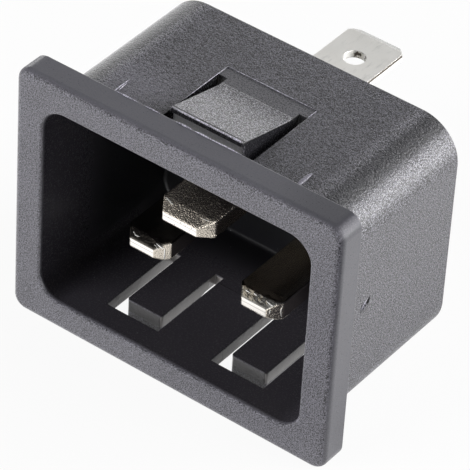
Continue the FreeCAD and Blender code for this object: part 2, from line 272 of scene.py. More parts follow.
class InletFinish(PropertyGroup):
    """Colours and surface sizes of the two materials."""

    plastic_colour: FloatVectorProperty(
        name="Plastic colour",
        description="Body colour of the moulded housing",
        subtype="COLOR",
        size=3,
        min=0.0,
        max=1.0,
        default=(0.066, 0.064, 0.076),
    )
    plastic_roughness: FloatProperty(
        name="Plastic roughness",
        description="Roughness of the spark-textured faces",
        subtype="FACTOR",
        min=0.0,
        max=1.0,
        default=0.33,
    )
    grain_size: FloatProperty(
        name="Grain size",
        description="Width of one grain of the spark texture",
        unit="LENGTH",
        min=0.00002,
        default=0.16 * MM,
    )
    grain_depth: FloatProperty(
        name="Grain depth",
        description="Depth of the spark texture",
        unit="LENGTH",
        min=0.0,
        default=0.035 * MM,
    )
    metal_colour: FloatVectorProperty(
        name="Plating colour",
        description="Reflected colour of the plated contacts",
        subtype="COLOR",
        size=3,
        min=0.0,
        max=1.0,
        default=(0.94, 0.93, 0.91),
    )
    metal_roughness: FloatProperty(
        name="Plating roughness",
        description="Roughness of the plated faces",
        subtype="FACTOR",
        min=0.0,
        max=1.0,
        default=0.12,
    )
    edge_radius: FloatProperty(
        name="Edge radius",
        description="Radius over which sharp edges catch the light",
        unit="LENGTH",
        min=0.0,
        default=0.10 * MM,
    )


class InletStage(PropertyGroup):
    """Floor, lamps, surroundings and camera."""

    floor_colour: FloatVectorProperty(
        name="Floor colour",
        description="Colour of the floor",
        subtype="COLOR",
        size=3,
        min=0.0,
        max=1.0,
        default=(0.86, 0.86, 0.86),
    )
    floor_size: FloatProperty(
        name="Floor size",
        description="Width of the square floor",
        unit="LENGTH",
        min=0.1,
        default=8.0,
    )
    sky_level: FloatProperty(
        name="Surrounding light",
        description="Strength of the even light from all round",
        min=0.0,
        default=0.02,
    )
    floor_level: FloatProperty(
        name="Floor in reflections",
        description="Brightness of the lit floor in reflections",
        min=0.0,
        default=2.1,
    )
    wall_level: FloatProperty(
        name="Low walls in reflections",
        description="Brightness of the walls near the horizon in reflections",
        min=0.0,
        default=1.1,
    )
    ceiling_level: FloatProperty(
        name="Ceiling in reflections",
        description="Brightness above the walls in reflections",
        min=0.0,
        default=0.55,
    )
    key_level: FloatProperty(
        name="Right lamp",
        description="Brightness of the large lamp low at the rear right",
        min=0.0,
        default=8.0,
    )
    fill_level: FloatProperty(
        name="Front lamp",
        description="Brightness of the large lamp low at the front left",
        min=0.0,
        default=9.0,
    )
    rear_level: FloatProperty(
        name="Rear lamp",
        description="Brightness of the wide lamp low behind the object",
        min=0.0,
        default=2.3,
    )
    camera_azimuth: FloatProperty(
        name="Camera azimuth",
        description="Turn of the camera about the vertical, from straight in front",
        subtype="ANGLE",
        default=math.radians(34.934),
    )
    camera_elevation: FloatProperty(
        name="Camera elevation",
        description="Height of the camera above the horizon",
        subtype="ANGLE",
        default=math.radians(39.424),
    )
    camera_roll: FloatProperty(
        name="Camera roll",
        description="Turn of the camera about its own line of sight",
        subtype="ANGLE",
        default=math.radians(3.650),
    )
    camera_distance: FloatProperty(
        name="Camera distance",
        description="Distance from the camera to the point that it looks at",
        unit="LENGTH",
        default=356.683 * MM,
    )
    camera_target: FloatVectorProperty(
        name="Camera target",
        description="Point that the camera looks at",
        subtype="TRANSLATION",
        size=3,
        default=(-2.045 * MM, 10.0 * MM, -5.046 * MM),
    )
    camera_lens: FloatProperty(
        name="Focal length",
        description="Focal length in millimetres on a 36 mm sensor",
        min=1.0,
        default=291.8,
    )


def add_node(tree, kind, feeds, **settings):
    """Add one shader node; feeds maps a socket's name or number to a value or another socket."""
    made = tree.nodes.new(kind)
    for key, value in settings.items():
        setattr(made, key, value)
    for key, value in feeds.items():
        socket = made.inputs[key]
        if isinstance(value, bpy.types.NodeSocket):
            tree.links.new(value, socket)
        else:
            socket.default_value = value
    return made


def calculate(tree, operation, first, second=0.0):
    """Result of one Math node."""
    return add_node(tree, "ShaderNodeMath", {0: first, 1: second}, operation=operation).outputs[0]


def multiply(tree, first, *others):
    """Product of two or more shares."""
    for other in others:
        first = calculate(tree, "MULTIPLY", first, other)
    return first


def highest(tree, first, *others):
    """Largest of two or more shares."""
    for other in others:
        first = calculate(tree, "MAXIMUM", first, other)
    return first


def add_shares(tree, total, *parts):
    """Total plus the product of each part's values."""
    for part in parts:
        total = calculate(tree, "ADD", total, multiply(tree, *part))
    return total


def distance_from(tree, value, centre):
    """How far a value lies from a centre, either way."""
    return calculate(tree, "ABSOLUTE", calculate(tree, "SUBTRACT", value, centre))


def remap(tree, value, low, high, to_low=0.0, to_high=1.0):
    """Value eased from one range to another and held at both ends."""
    feeds = {"Value": value, "From Min": low, "From Max": high, "To Min": to_low, "To Max": to_high}
    return add_node(tree, "ShaderNodeMapRange", feeds, interpolation_type="SMOOTHSTEP").outputs[0]


def ease(tree, place, start, end, to_low=0.0, to_high=1.0):
    """Eased change between two places, which are given in millimetres."""
    return remap(tree, place, start * MM, end * MM, to_low, to_high)


def band(tree, place, rising, falling):
    """One between two places, easing in and out over the pairs of millimetres given."""
    return multiply(tree, ease(tree, place, *rising), ease(tree, place, *reversed(falling)))


def fade(tree, share, at_nought, at_one):
    """Value that goes from one level to another as a share goes from nought to one."""
    return remap(tree, share, 0.0, 1.0, at_nought, at_one)


def blend_colour(tree, factor, first, second):
    """Mix of two colours."""
    mixer = add_node(tree, "ShaderNodeMix", {0: factor, 6: first, 7: second}, data_type="RGBA")
    return mixer.outputs[2]


def blend_value(tree, factor, first, second):
    """Mix of two values."""
    feeds = {0: factor, 2: first, 3: second}
    return add_node(tree, "ShaderNodeMix", feeds, data_type="FLOAT").outputs[0]


def tint(tree, colour, *tints):
    """Colour turned towards others in turn; each tint is its share, its strength and its colour."""
    for share, strength, target in tints:
        colour = blend_colour(tree, multiply(tree, share, strength), colour, (*target, 1.0))
    return colour


def shade(colour, factors):
    """Opaque colour with its channels multiplied by one factor or by one each."""
    return (*(np.array(colour) * factors), 1.0)


def noise(tree, place, size, detail=2.0, roughness=0.5):
    """Soft noise whose blotches are about the given size across."""
    feeds = {"Vector": place, "Scale": 1.0 / size, "Detail": detail, "Roughness": roughness}
    return add_node(tree, "ShaderNodeTexNoise", feeds).outputs["Fac"]


def pits(tree, place, size):
    """Distance to the nearest of many scattered points, in units of their spacing."""
    feeds = {"Vector": place, "Scale": 1.0 / size}
    return add_node(tree, "ShaderNodeTexVoronoi", feeds).outputs["Distance"]


def split_vector(tree, vector):
    """The three coordinates of a vector."""
    return list(add_node(tree, "ShaderNodeSeparateXYZ", {0: vector}).outputs)


def start_material(name):
    """Empty node material; returns it, its tree, surface shader and place in the model."""
    material = bpy.data.materials.new(name)
    material.use_nodes = True
    tree = material.node_tree
    tree.nodes.clear()
    shader = tree.nodes.new("ShaderNodeBsdfPrincipled")
    add_node(tree, "ShaderNodeOutputMaterial", {"Surface": shader.outputs[0]})
    place = tree.nodes.new("ShaderNodeTexCoord").outputs["Object"]
    return material, tree, shader, place


def link_surface(tree, shader, colour, rough, bump):
    """Link the three inputs of the surface shader that vary over the model."""
    tree.links.new(colour, shader.inputs["Base Color"])
    tree.links.new(rough, shader.inputs["Roughness"])
    tree.links.new(bump.outputs[0], shader.inputs["Normal"])


def edge_share(tree, radius):
    """Softened normal near sharp edges, and how far it leaves the flat normal."""
    soft = add_node(tree, "ShaderNodeBevel", {"Radius": radius}, samples=6).outputs[0]
    flat = tree.nodes.new("ShaderNodeNewGeometry").outputs["Normal"]
    likeness = add_node(tree, "ShaderNodeVectorMath", {0: soft, 1: flat}, operation="DOT_PRODUCT")
    return soft, remap(tree, likeness.outputs["Value"], 1.0, 0.80)


def latch_share(tree, across, y, z):
    """One on the upright faces in and around the top latch, which the mould leaves smooth."""
    beside_arm = ease(tree, across, ARM_HALF_WIDTH - 0.06, ARM_HALF_WIDTH - 0.02)
    before_arm = ease(tree, y, NOSE_FRONT + 0.03, NOSE_FRONT + 0.01)
    below_lip = multiply(
        tree,
        ease(tree, y, ARM_FRONT + 0.03, ARM_FRONT + 0.01),
        ease(tree, z, LIP_BOTTOM + 0.02, LIP_BOTTOM - 0.02),
    )
    return multiply(
        tree,
        highest(tree, beside_arm, before_arm, below_lip),
        ease(tree, across, WINDOW_HALF_WIDTH + 0.03, WINDOW_HALF_WIDTH + 0.01),
        ease(tree, y, WINDOW_END + 0.03, WINDOW_END + 0.01),
        ease(tree, y, 0.0, 0.03),
        ease(tree, z, SOCKET_HALF_HEIGHT, SOCKET_HALF_HEIGHT + 0.05),
    )


def hollow_shares(tree, at):
    """Fill in the shares of the hollows: socket, its depth, recess, latch and slots."""
    at.socket = multiply(
        tree,
        ease(tree, at.across, SOCKET_HALF_WIDTH + 0.12, SOCKET_HALF_WIDTH + 0.02),
        ease(tree, at.height, SOCKET_HALF_HEIGHT + 0.12, SOCKET_HALF_HEIGHT + 0.02),
        ease(tree, at.y, FLANGE_FRONT + 0.35, FLANGE_FRONT + 0.5),
    )
    # Depth and left wall of the socket, painted near black as shade and made rougher
    at.deep = highest(
        tree,
        ease(tree, at.y, 10.0, 15.0),
        multiply(
            tree,
            ease(tree, at.x, 0.3 - SOCKET_HALF_WIDTH, 0.1 - SOCKET_HALF_WIDTH),
            ease(tree, at.y, 2.5, 8.0),
        ),
    )
    at.recess = multiply(
        tree,
        ease(tree, at.y, RAMP_END - 0.05, RAMP_END + 0.05),
        ease(tree, at.z, BODY_TOP - 0.05, BODY_TOP - 0.15),
        ease(tree, at.across, WINDOW_HALF_WIDTH + 0.05, WINDOW_HALF_WIDTH),
        ease(tree, at.y, BODY_REAR - 4.0, BODY_REAR - 5.0),
    )
    at.latch = latch_share(tree, at.across, at.y, at.z)
    at.slot = multiply(
        tree,
        ease(tree, at.z, -SOCKET_HALF_HEIGHT - 0.12, -SOCKET_HALF_HEIGHT - 0.2),
        ease(tree, at.z, -BODY_TOP, 0.04 - BODY_TOP),
        ease(tree, at.across, SLOTS_END + 0.05, SLOTS_END),
        ease(tree, at.y, WINDOW_END + 0.1, WINDOW_END),
        ease(tree, at.y, 0.0, 0.05),
    )
    at.gloss = highest(tree, at.socket, at.recess, at.latch)


def outer_shares(tree, at):
    """Fill in the shares of the outer faces: flange, body, its rounded edges, ramp and gate."""
    at.flange = multiply(
        tree,
        ease(tree, at.y, FLANGE_FRONT + 0.02, FLANGE_FRONT + 0.30),
        ease(tree, at.y, 0.05, 0.0),
    )
    at.corner = multiply(
        tree,
        ease(tree, at.across, FLANGE_HALF_WIDTH - 1.1, FLANGE_HALF_WIDTH - 0.5),
        ease(tree, at.height, FLANGE_HALF_HEIGHT - 1.2, FLANGE_HALF_HEIGHT - 0.6),
    )
    at.smooth = highest(tree, at.gloss, multiply(tree, at.flange, 0.85))
    at.body = ease(tree, at.y, 0.0, 0.1)
    at.ramp = multiply(
        tree,
        ease(tree, at.across, ARM_HALF_WIDTH + 0.1, ARM_HALF_WIDTH),
        ease(tree, at.y, RAMP_END + 0.1, RAMP_END),
        at.body,
    )
    at.groove = multiply(
        tree,
        ease(tree, distance_from(tree, at.y, NOSE_GROOVE * MM), 0.16, 0.0),
        ease(tree, at.z, LIP_BOTTOM + 0.15, LIP_BOTTOM + 0.25),
        at.ramp,
    )
    at.side = multiply(tree, ease(tree, at.across, 11.0, 14.0), at.body)
    at.rounding = multiply(tree, at.side, ease(tree, at.height, 9.0, 11.5))
    # Where the rounded edges meet the top; painted there as a dark band of shade
    at.shoulder = multiply(
        tree, ease(tree, at.across, 12.0, 13.4), ease(tree, at.height, 11.0, 11.8), at.body
    )
    at.left_front = multiply(
        tree, ease(tree, at.y, 9.0, 3.0), ease(tree, at.x, -4.0, -9.0), at.body
    )
    at.gate = multiply(
        tree,
        band(
            tree,
            at.x,
            (BODY_HALF_WIDTH - 0.3, BODY_HALF_WIDTH - 0.2),
            (BODY_HALF_WIDTH - 0.08, BODY_HALF_WIDTH - 0.03),
        ),
        band(tree, at.y, (GATE_FRONT, GATE_FRONT + 0.1), (GATE_REAR - 0.1, GATE_REAR)),
        ease(tree, at.height, GATE_HALF_HEIGHT, GATE_HALF_HEIGHT - 0.1),
    )
    at.scar = multiply(
        tree,
        band(tree, at.y, (3.82, 3.95), (5.0, 5.12)),
        band(tree, at.z, (-0.42, -0.30), (0.45, 0.60)),
        ease(tree, at.x, BODY_HALF_WIDTH - 0.3, BODY_HALF_WIDTH - 0.2),
    )


def plastic_relief(tree, place, fine, at, finish):
    """Spark texture with the groove behind the nose; returns its bump and the edge share."""
    coarse = noise(tree, place, finish.grain_size * 3.2, 2.0)
    holes = pits(tree, place, finish.grain_size * 1.5)
    texture = add_shares(tree, fine, (holes, 0.35), (coarse, 0.8))
    amount = add_shares(
        tree,
        fade(tree, at.body, 0.6, 1.0),
        (at.ramp, 0.3),
        (at.side, 0.3),
        (at.rounding, 0.8),
        (highest(tree, at.gate, at.scar), 6.0),
    )
    run_out = calculate(tree, "MAXIMUM", calculate(tree, "SUBTRACT", at.y, RAMP_BEND * MM), 0.0)
    relief = add_shares(
        tree,
        multiply(tree, texture, amount),
        (at.groove, -GROOVE_DEPTH / finish.grain_depth),
        (run_out, run_out, at.ramp, RAMP_CURVE / finish.grain_depth),
    )
    soft_normal, edge = edge_share(tree, finish.edge_radius)
    feeds = {
        "Strength": fade(tree, at.smooth, 1.0, 0.22),
        "Distance": finish.grain_depth,
        "Height": relief,
        "Normal": soft_normal,
    }
    return add_node(tree, "ShaderNodeBump", feeds), edge


def plastic_tints(tree, at, speck, salt, edge):
    """Tints of the housing's faces, weakest claim first; most are painted light and shade."""
    flange_top = multiply(
        tree, at.flange, ease(tree, at.z, FLANGE_HALF_HEIGHT - 0.2, FLANGE_HALF_HEIGHT - 0.05)
    )
    flange_end = multiply(
        tree, at.flange, ease(tree, at.across, FLANGE_HALF_WIDTH - 0.3, FLANGE_HALF_WIDTH - 0.1)
    )
    upright = ease(tree, at.across, ARM_HALF_WIDTH - 0.06, ARM_HALF_WIDTH - 0.02, 0.2, 0.9)
    lip = multiply(tree, ease(tree, at.z, LIP_BOTTOM - 0.25, LIP_BOTTOM - 0.05), at.latch)
    post = multiply(
        tree,
        ease(tree, at.z, LIP_BOTTOM, LIP_BOTTOM - 0.04),
        at.latch,
        ease(tree, at.across, ARM_HALF_WIDTH - 0.1, ARM_HALF_WIDTH - 0.2),
    )
    arm_end = multiply(
        tree, ease(tree, distance_from(tree, at.y, ARM_FRONT * MM), 0.03, 0.02), at.slot
    )
    return (
        (speck, 0.5, PALE_SPECK),
        (edge, 0.35, EDGE_WEAR_AND_HIGHLIGHT),
        (at.shoulder, 0.85, PAINTED_SHOULDER_SHADE),
        (salt, 1.0, GRAIN_AND_PAINTED_GLINT),
        (at.groove, 1.0, PAINTED_GROOVE_SHADE),
        (flange_top, 0.7, FLANGE_TOP_PAINTED_LIGHT),
        (flange_top, ease(tree, at.x, 8.0, 16.0, 0.0, 0.42), FLANGE_TOP_RIGHT_PAINTED_SHADE),
        (flange_end, 0.6, FLANGE_END_PAINTED_SHADE),
        (at.gate, 0.95, PAINTED_GATE_SHADE),
        (at.recess, 0.6, SMOOTH_RECESS_PAINTED_SHEEN),
        (at.latch, upright, LATCH_SIDE_PAINTED_SHADE),
        (lip, 0.9, LATCH_SIDE_PAINTED_SHADE),
        (post, 0.9, NOSE_POST),
        (at.slot, 0.9, SLOT_WALL),
        (arm_end, 1.0, ARM_END_PAINTED_LIGHT),
    )


def plastic_colour(tree, place, fine, edge, at, finish):
    """Mottled black with pale grains and specks, with painted light and shade face by face."""
    speckle = noise(tree, place, 0.10 * MM, 0.0)
    grain = add_shares(tree, remap(tree, fine, 0.36, 0.64), (remap(tree, speckle, 0.30, 0.70), 0.9))
    # Grain shows most on the ramp, sides and rounded edges: its own grain with painted glints
    contrast = add_shares(tree, 0.65, (at.ramp, 2.2), (at.side, 0.7), (at.rounding, 1.2))
    contrast = multiply(tree, contrast, fade(tree, at.smooth, 1.0, 0.15))
    # Sides painted dark as shade; rounded edges and the body's front left painted light
    tone = add_shares(
        tree,
        0.36,
        (noise(tree, place, 4.0 * MM, 3.0), 0.2),
        (calculate(tree, "SUBTRACT", grain, 0.95), contrast),
        (at.body, -0.14),
        (at.side, -0.20),
        (at.left_front, 0.45),
        (at.rounding, 0.55),
    )
    darker, lighter = shade(finish.plastic_colour, 0.04), shade(finish.plastic_colour, 2.6)
    speck = remap(tree, pits(tree, place, 1.3 * MM), 0.055, 0.030)
    salt = multiply(
        tree,
        remap(tree, speckle, 0.56, 0.72),
        remap(tree, contrast, 0.6, 2.8, 0.10, 1.0),
        fade(tree, at.shoulder, 1.0, 0.20),
    )
    colour = blend_colour(tree, tone, darker, lighter)
    colour = tint(tree, colour, *plastic_tints(tree, at, speck, salt, edge))
    # Inside the socket: painted shade, darkest in its depth and on its left wall
    inside = blend_colour(tree, at.deep, SOCKET_MOUTH, SOCKET_DEPTH)
    inside = tint(tree, inside, (speck, 0.35, SOCKET_SPECK))
    return blend_colour(tree, at.socket, colour, inside)


def make_plastic(finish):
    """Black moulded plastic: spark texture on the outer faces, smooth on the hidden ones."""
    material, tree, shader, place = start_material("moulded_black_plastic")
    x, y, z = split_vector(tree, place)
    across, height = calculate(tree, "ABSOLUTE", x), calculate(tree, "ABSOLUTE", z)
    at = SimpleNamespace(x=x, y=y, z=z, across=across, height=height)
    hollow_shares(tree, at)
    outer_shares(tree, at)

    fine = noise(tree, place, finish.grain_size, 3.0, 0.65)
    bump, edge = plastic_relief(tree, place, fine, at, finish)
    colour = plastic_colour(tree, place, fine, edge, at, finish)
    middle = finish.plastic_roughness
    rough = add_shares(
        tree,
        remap(tree, fine, 0.25, 0.75, middle - 0.07, middle + 0.09),
        (at.gloss, -0.10),
        (at.deep, at.socket, 0.22),
        (at.gate, 0.25),
        (at.corner, 0.25),
    )
    link_surface(tree, shader, colour, rough, bump)
    shader.inputs["IOR"].default_value = PLASTIC_IOR
    return material


def make_flash_plastic(finish):
    """Same plastic, drawn thin or torn: paler, partly as painted highlight; no spark texture."""
    material, tree, shader, place = start_material("thin_black_plastic")
    x = split_vector(tree, place)[0]
    fine = noise(tree, place, finish.grain_size, 2.0)
    # The pale colour is partly stress-whitened plastic and partly painted highlight
    thin, thick = shade(finish.plastic_colour, 11.0), shade(finish.plastic_colour, 2.5)
    right_insert = band(tree, x, (9.6, 9.8), (10.6, 10.8))
    colour = blend_colour(tree, remap(tree, fine, 0.35, 0.65), thin, thick)
    colour = tint(tree, colour, (right_insert, 0.8, thick[:3]))
    feeds = {"Strength": 1.0, "Distance": FLASH_DEPTH, "Height": fine}
    bump = add_node(tree, "ShaderNodeBump", feeds)
    link_surface(tree, shader, colour, remap(tree, fine, 0.3, 0.7, 0.24, 0.36), bump)
    shader.inputs["IOR"].default_value = PLASTIC_IOR
    return material


def plating_shares(tree, at):
    """Fill in the shares of the contacts: blade, tip, bevels, tab and turn of a face."""
    normal = tree.nodes.new("ShaderNodeNewGeometry").outputs["Normal"]
    sideways, leaning, facing = split_vector(tree, normal)
    at.facing = facing
    at.tip = ease(tree, at.y, 3.3, 2.5)
    at.tab = ease(tree, at.y, BODY_REAR + 1.0, BODY_REAR + 2.0)
    at.earth = ease(tree, at.z, -0.5, 0.5)
    at.pair = calculate(tree, "SUBTRACT", 1.0, at.earth)
    at.left = multiply(tree, at.pair, ease(tree, at.x, 0.5, -0.5))
    at.earth_fading = multiply(tree, ease(tree, at.y, 7.0, 1.0), at.earth)
    at.chamfer = multiply(
        tree, remap(tree, leaning, -0.3, -0.5), remap(tree, sideways, 0.4, 0.6), at.pair
    )
    at.bevel = multiply(tree, remap(tree, facing, 0.2, 0.6), remap(tree, facing, 0.98, 0.93))
    at.front = remap(tree, leaning, -0.85, -0.95)
    at.rear_bevel = multiply(tree, remap(tree, leaning, 0.2, 0.3), at.tab)
    at.upright = remap(tree, calculate(tree, "ABSOLUTE", facing), 0.45, 0.25)


def plating_relief(tree, place, rolled, at, finish):
    """Rolled waves, crumbs and dents on the blades; returns the bump and the edge share."""
    waves = noise(tree, place, 1.6 * MM, 2.0)
    crumbs = noise(tree, place, 0.13 * MM, 1.0)
    glints = noise(tree, place, 0.50 * MM, 1.0)
    sparkle = remap(tree, pits(tree, place, 0.42 * MM), 0.24, 0.06)
    crumb_share = multiply(
        tree,
        highest(tree, multiply(tree, at.tip, 0.07), at.earth_fading),
        remap(tree, at.facing, 0.2, 0.6, 0.25, 1.0),
        fade(tree, at.bevel, 0.55, 1.0),
    )
    crumb_share = add_shares(tree, crumb_share, (at.chamfer, 0.30))
    glint_share = multiply(
        tree,
        at.tip,
        at.pair,
        ease(tree, at.x, -0.5, 0.5, 0.6, 1.0),
        remap(tree, at.facing, 0.2, 0.6, 0.12, 1.0),
    )
    relief = add_shares(
        tree,
        multiply(tree, rolled, 0.0030),
        (at.y, at.chamfer, at.left, 0.50 / MM),
        (waves, 0.0054),
        (crumbs, crumb_share, 0.17),
        (sparkle, at.earth_fading, 0.035),
        (glints, glint_share, 0.060),
    )
    soft_normal, edge = edge_share(tree, fade(tree, at.tip, finish.edge_radius, TIP_RADIUS * MM))
    feeds = {"Strength": 1.0, "Distance": MM, "Height": relief, "Normal": soft_normal}
    return add_node(tree, "ShaderNodeBump", feeds), edge


def blade_finish(tree, at, finish):
    """Colour of the blades: bevels painted shade, fronts painted light, and the seam across them.
    """
    own = finish.metal_colour
    middle = fade(tree, at.earth, PAIR_HEIGHT * MM, EARTH_HEIGHT * MM)
    above = calculate(tree, "SUBTRACT", at.z, middle)
    seam = distance_from(tree, above, SEAM_RISE * MM)
    seam = multiply(tree, ease(tree, seam, 0.08, 0.03), at.front)
    # The left blade is painted darker than the other two as shade
    blade = blend_colour(tree, at.left, shade(own, BLADE_SHADE * 1.30), shade(own, BLADE_SHADE))
    return tint(
        tree,
        blade,
        (multiply(tree, at.bevel, at.pair), 1.0, PAIR_BEVEL),
        # The left tip's bevel is painted darker still as shade
        (multiply(tree, at.bevel, at.left), 1.0, shade(own, BLADE_SHADE * 0.30)[:3]),
        (at.front, 1.0, BLADE_FRONT_PAINTED_LIGHT),
        (seam, 0.32, BLADE_SEAM),
    )


def tab_finish(tree, place, at, finish):
    """Colour of the tabs: stained, scratched across and darker towards the end."""
    own = finish.metal_colour
    stretch = {"Vector": place, "Scale": (1.0, 0.25, 1.0), "Rotation": (0.0, 0.0, 0.5)}
    brushed = add_node(tree, "ShaderNodeMapping", stretch).outputs[0]
    scratches = noise(tree, brushed, 0.5 * MM, 4.0, 0.7)
    patches = noise(tree, place, 2.6 * MM, 2.0)
    stain = noise(tree, place, 2.2 * MM, 3.0)
    handling = add_shares(
        tree,
        multiply(tree, remap(tree, scratches, 0.50, 0.78), 0.5),
        (remap(tree, patches, 0.40, 0.70), 0.07),
        (ease(tree, at.y, BODY_REAR + 0.1, BODY_REAR + 10.1), 0.35),
    )
    colour = blend_colour(tree, stain, shade(own, 1.0), shade(own, WARM_SHADE))
    return blend_colour(tree, handling, colour, shade(own, DULL_SHADE))


def make_plating(finish):
    """Nickel plating: satin tabs, blades painted dark as shade, and rough coined tips."""
    material, tree, shader, place = start_material("nickel_plating")
    x, y, z = split_vector(tree, place)
    at = SimpleNamespace(x=x, y=y, z=z)
    plating_shares(tree, at)

    stretch = {"Vector": place, "Scale": (1.0, 0.06, 1.0)}
    along = add_node(tree, "ShaderNodeMapping", stretch).outputs[0]
    rolled = noise(tree, along, 0.10 * MM, 3.0, 0.6)
    bump, edge = plating_relief(tree, place, rolled, at, finish)

    across = calculate(tree, "ABSOLUTE", x)
    sheared = multiply(
        tree, ease(tree, across, 2.0, 2.1), ease(tree, z, TAB_TOP - 0.34, TAB_TOP - 0.28)
    )
    in_hole = multiply(
        tree,
        ease(tree, across, 1.3, 1.2),
        remap(tree, noise(tree, place, 0.45 * MM, 1.0), 0.48, 0.56),
        ease(tree, x, -0.75, -0.6),
    )
    # Upright sheared sides and the hole's wall, painted dark as shade
    dark_side = multiply(tree, highest(tree, sheared, in_hole), at.upright, at.tab)
    blade, tab = blade_finish(tree, at, finish), tab_finish(tree, place, at, finish)
    colour = tint(
        tree,
        blend_colour(tree, at.tab, blade, tab),
        (edge, 0.4, PAINTED_EDGE_HIGHLIGHT),
        (dark_side, 1.0, SHEARED_SIDE_AND_SHADE),
        (at.rear_bevel, 1.0, TAB_REAR_BEVEL_SHADE),
    )
    middle = finish.metal_roughness
    rough = remap(tree, rolled, 0.2, 0.8, middle - 0.05, middle + 0.08)
    rough = add_shares(tree, rough, (at.tab, 0.47))
    link_surface(tree, shader, colour, rough, bump)
    shader.inputs["Metallic"].default_value = 1.0
    return material


def make_bright_plating(finish):
    """The plating where a tool has pressed or rubbed it bright."""
    material, tree, shader, place = start_material("rubbed_plating")
    fine = noise(tree, place, 0.2 * MM, 1.0)
    shader.inputs["Base Color"].default_value = shade(finish.metal_colour, 1.0)
    tree.links.new(remap(tree, fine, 0.3, 0.7, 0.25, 0.45), shader.inputs["Roughness"])
    shader.inputs["Metallic"].default_value = 1.0
    return material


def give_material(piece, material):
    """Put one material in every slot of a piece."""
    if not piece.material_slots:
        piece.data.materials.append(material)
    for slot in piece.material_slots:
        slot.material = material


def grid_faces(rows, columns):
    """Corner numbers of the quads of a tube of rings, worked out as whole arrays."""
    ring, step = np.mgrid[0:rows - 1, 0:columns]
    here, beside = ring * columns + step, ring * columns + (step + 1) % columns
    return np.stack([here, beside, beside + columns, here + columns], axis=-1).reshape(-1, 4)


def make_bead(name, kind, corners, half_width, height, ragged, lean, up):
    """Thin raised line that lies on a face, of plastic or metal; its kind is not used.

    Its middle follows straight runs between the corners.  With s from 0 to 1 along the run and
    t from 0 to a full turn around it, a point stands half_width times cos t to the side and
    height times sin t above the face (a third of that below it), both shrinking to nothing at
    the two ends as the square root of sin(pi s) does and swelling along it by three sines of s.
    Lean moves the crest to one side.
    """
    corners, up = np.array(corners) * MM, np.array(up)
    steps = np.concatenate([[0.0], np.cumsum(np.linalg.norm(np.diff(corners, axis=0), axis=1))])
    rows = int(steps[-1] / BEAD_STEP) + BEAD_LEAST_ROWS
    s = np.linspace(0.0, 1.0, rows)
    middle = np.stack([np.interp(s * steps[-1], steps, track) for track in corners.T], axis=1)
    along = np.gradient(middle, axis=0)
    along = along / np.linalg.norm(along, axis=1)[:, None]
    side = np.cross(along, up)
    side = side / np.linalg.norm(side, axis=1)[:, None]
    swell = 1.0 + ragged * sum(np.sin(rate * s + start) for rate, start in SWELLS) / len(SWELLS)
    size = np.sqrt(np.abs(np.sin(math.pi * s))) * swell * MM
    t = np.linspace(0.0, 2.0 * math.pi, BEAD_SIDES, endpoint=False)
    rise = height * np.where(np.sin(t) > 0.0, np.sin(t), np.sin(t) / 3.0)
    across = half_width * (np.cos(t) + lean * np.maximum(np.sin(t), 0.0))
    ring = across[None, :, None] * side[:, None, :] + rise[None, :, None] * up
    points = middle[:, None, :] + size[:, None, None] * ring
    mesh = bpy.data.meshes.new(name)
    last = (rows - 1) * BEAD_SIDES
    ends = [tuple(range(BEAD_SIDES))[::-1], tuple(range(last, last + BEAD_SIDES))]
    faces = grid_faces(rows, BEAD_SIDES).tolist() + ends
    mesh.from_pydata(points.reshape(-1, 3).tolist(), [], faces)
    mesh.polygons.foreach_set("use_smooth", np.ones(len(mesh.polygons), dtype=bool))
    piece = bpy.data.objects.new(name, mesh)
    bpy.context.scene.collection.objects.link(piece)
    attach(piece, BODY)
    return piece


class INLET_OT_housing(Operator):
    """Finish the moulded housing"""

    bl_idname = "inlet.housing"
    bl_label = "Housing"

    def execute(self, context):
        give_material(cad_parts[HOUSING], make_plastic(context.scene.inlet_finish))
        return {"FINISHED"}


class INLET_OT_marks(Operator):
    """Raise the thin lines and flakes that the mould leaves on the housing"""

    bl_idname = "inlet.marks"
    bl_label = "Mould marks"

    def execute(self, context):
        plastic = make_flash_plastic(context.scene.inlet_finish)
        for name, *shape in MOULD_MARKS:
            give_material(make_bead(name, PLASTIC_SLOT, *shape), plastic)
        return {"FINISHED"}


class INLET_OT_contacts(Operator):
    """Finish the three plated contacts"""

    bl_idname = "inlet.contacts"
    bl_label = "Contacts"

    def execute(self, context):
        plating = make_plating(context.scene.inlet_finish)
        for name in CONTACTS:
            give_material(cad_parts[name], plating)
        return {"FINISHED"}


class INLET_OT_ridges(Operator):
    """Raise the burrs and ridges on the tips of the blades"""

    bl_idname = "inlet.ridges"
    bl_label = "Tip ridges"

    def execute(self, context):
        bright = make_bright_plating(context.scene.inlet_finish)
        for name, *shape in COINED_RIDGES:
            give_material(make_bead(name, METAL_SLOT, *shape), bright)
        return {"FINISHED"}


def seen_share(tree):
    """One for camera, glossy and transmission rays, nought for the rest."""
    path = tree.nodes.new("ShaderNodeLightPath").outputs
    return highest(tree, path["Is Camera Ray"], path["Is Glossy Ray"], path["Is Transmission Ray"])


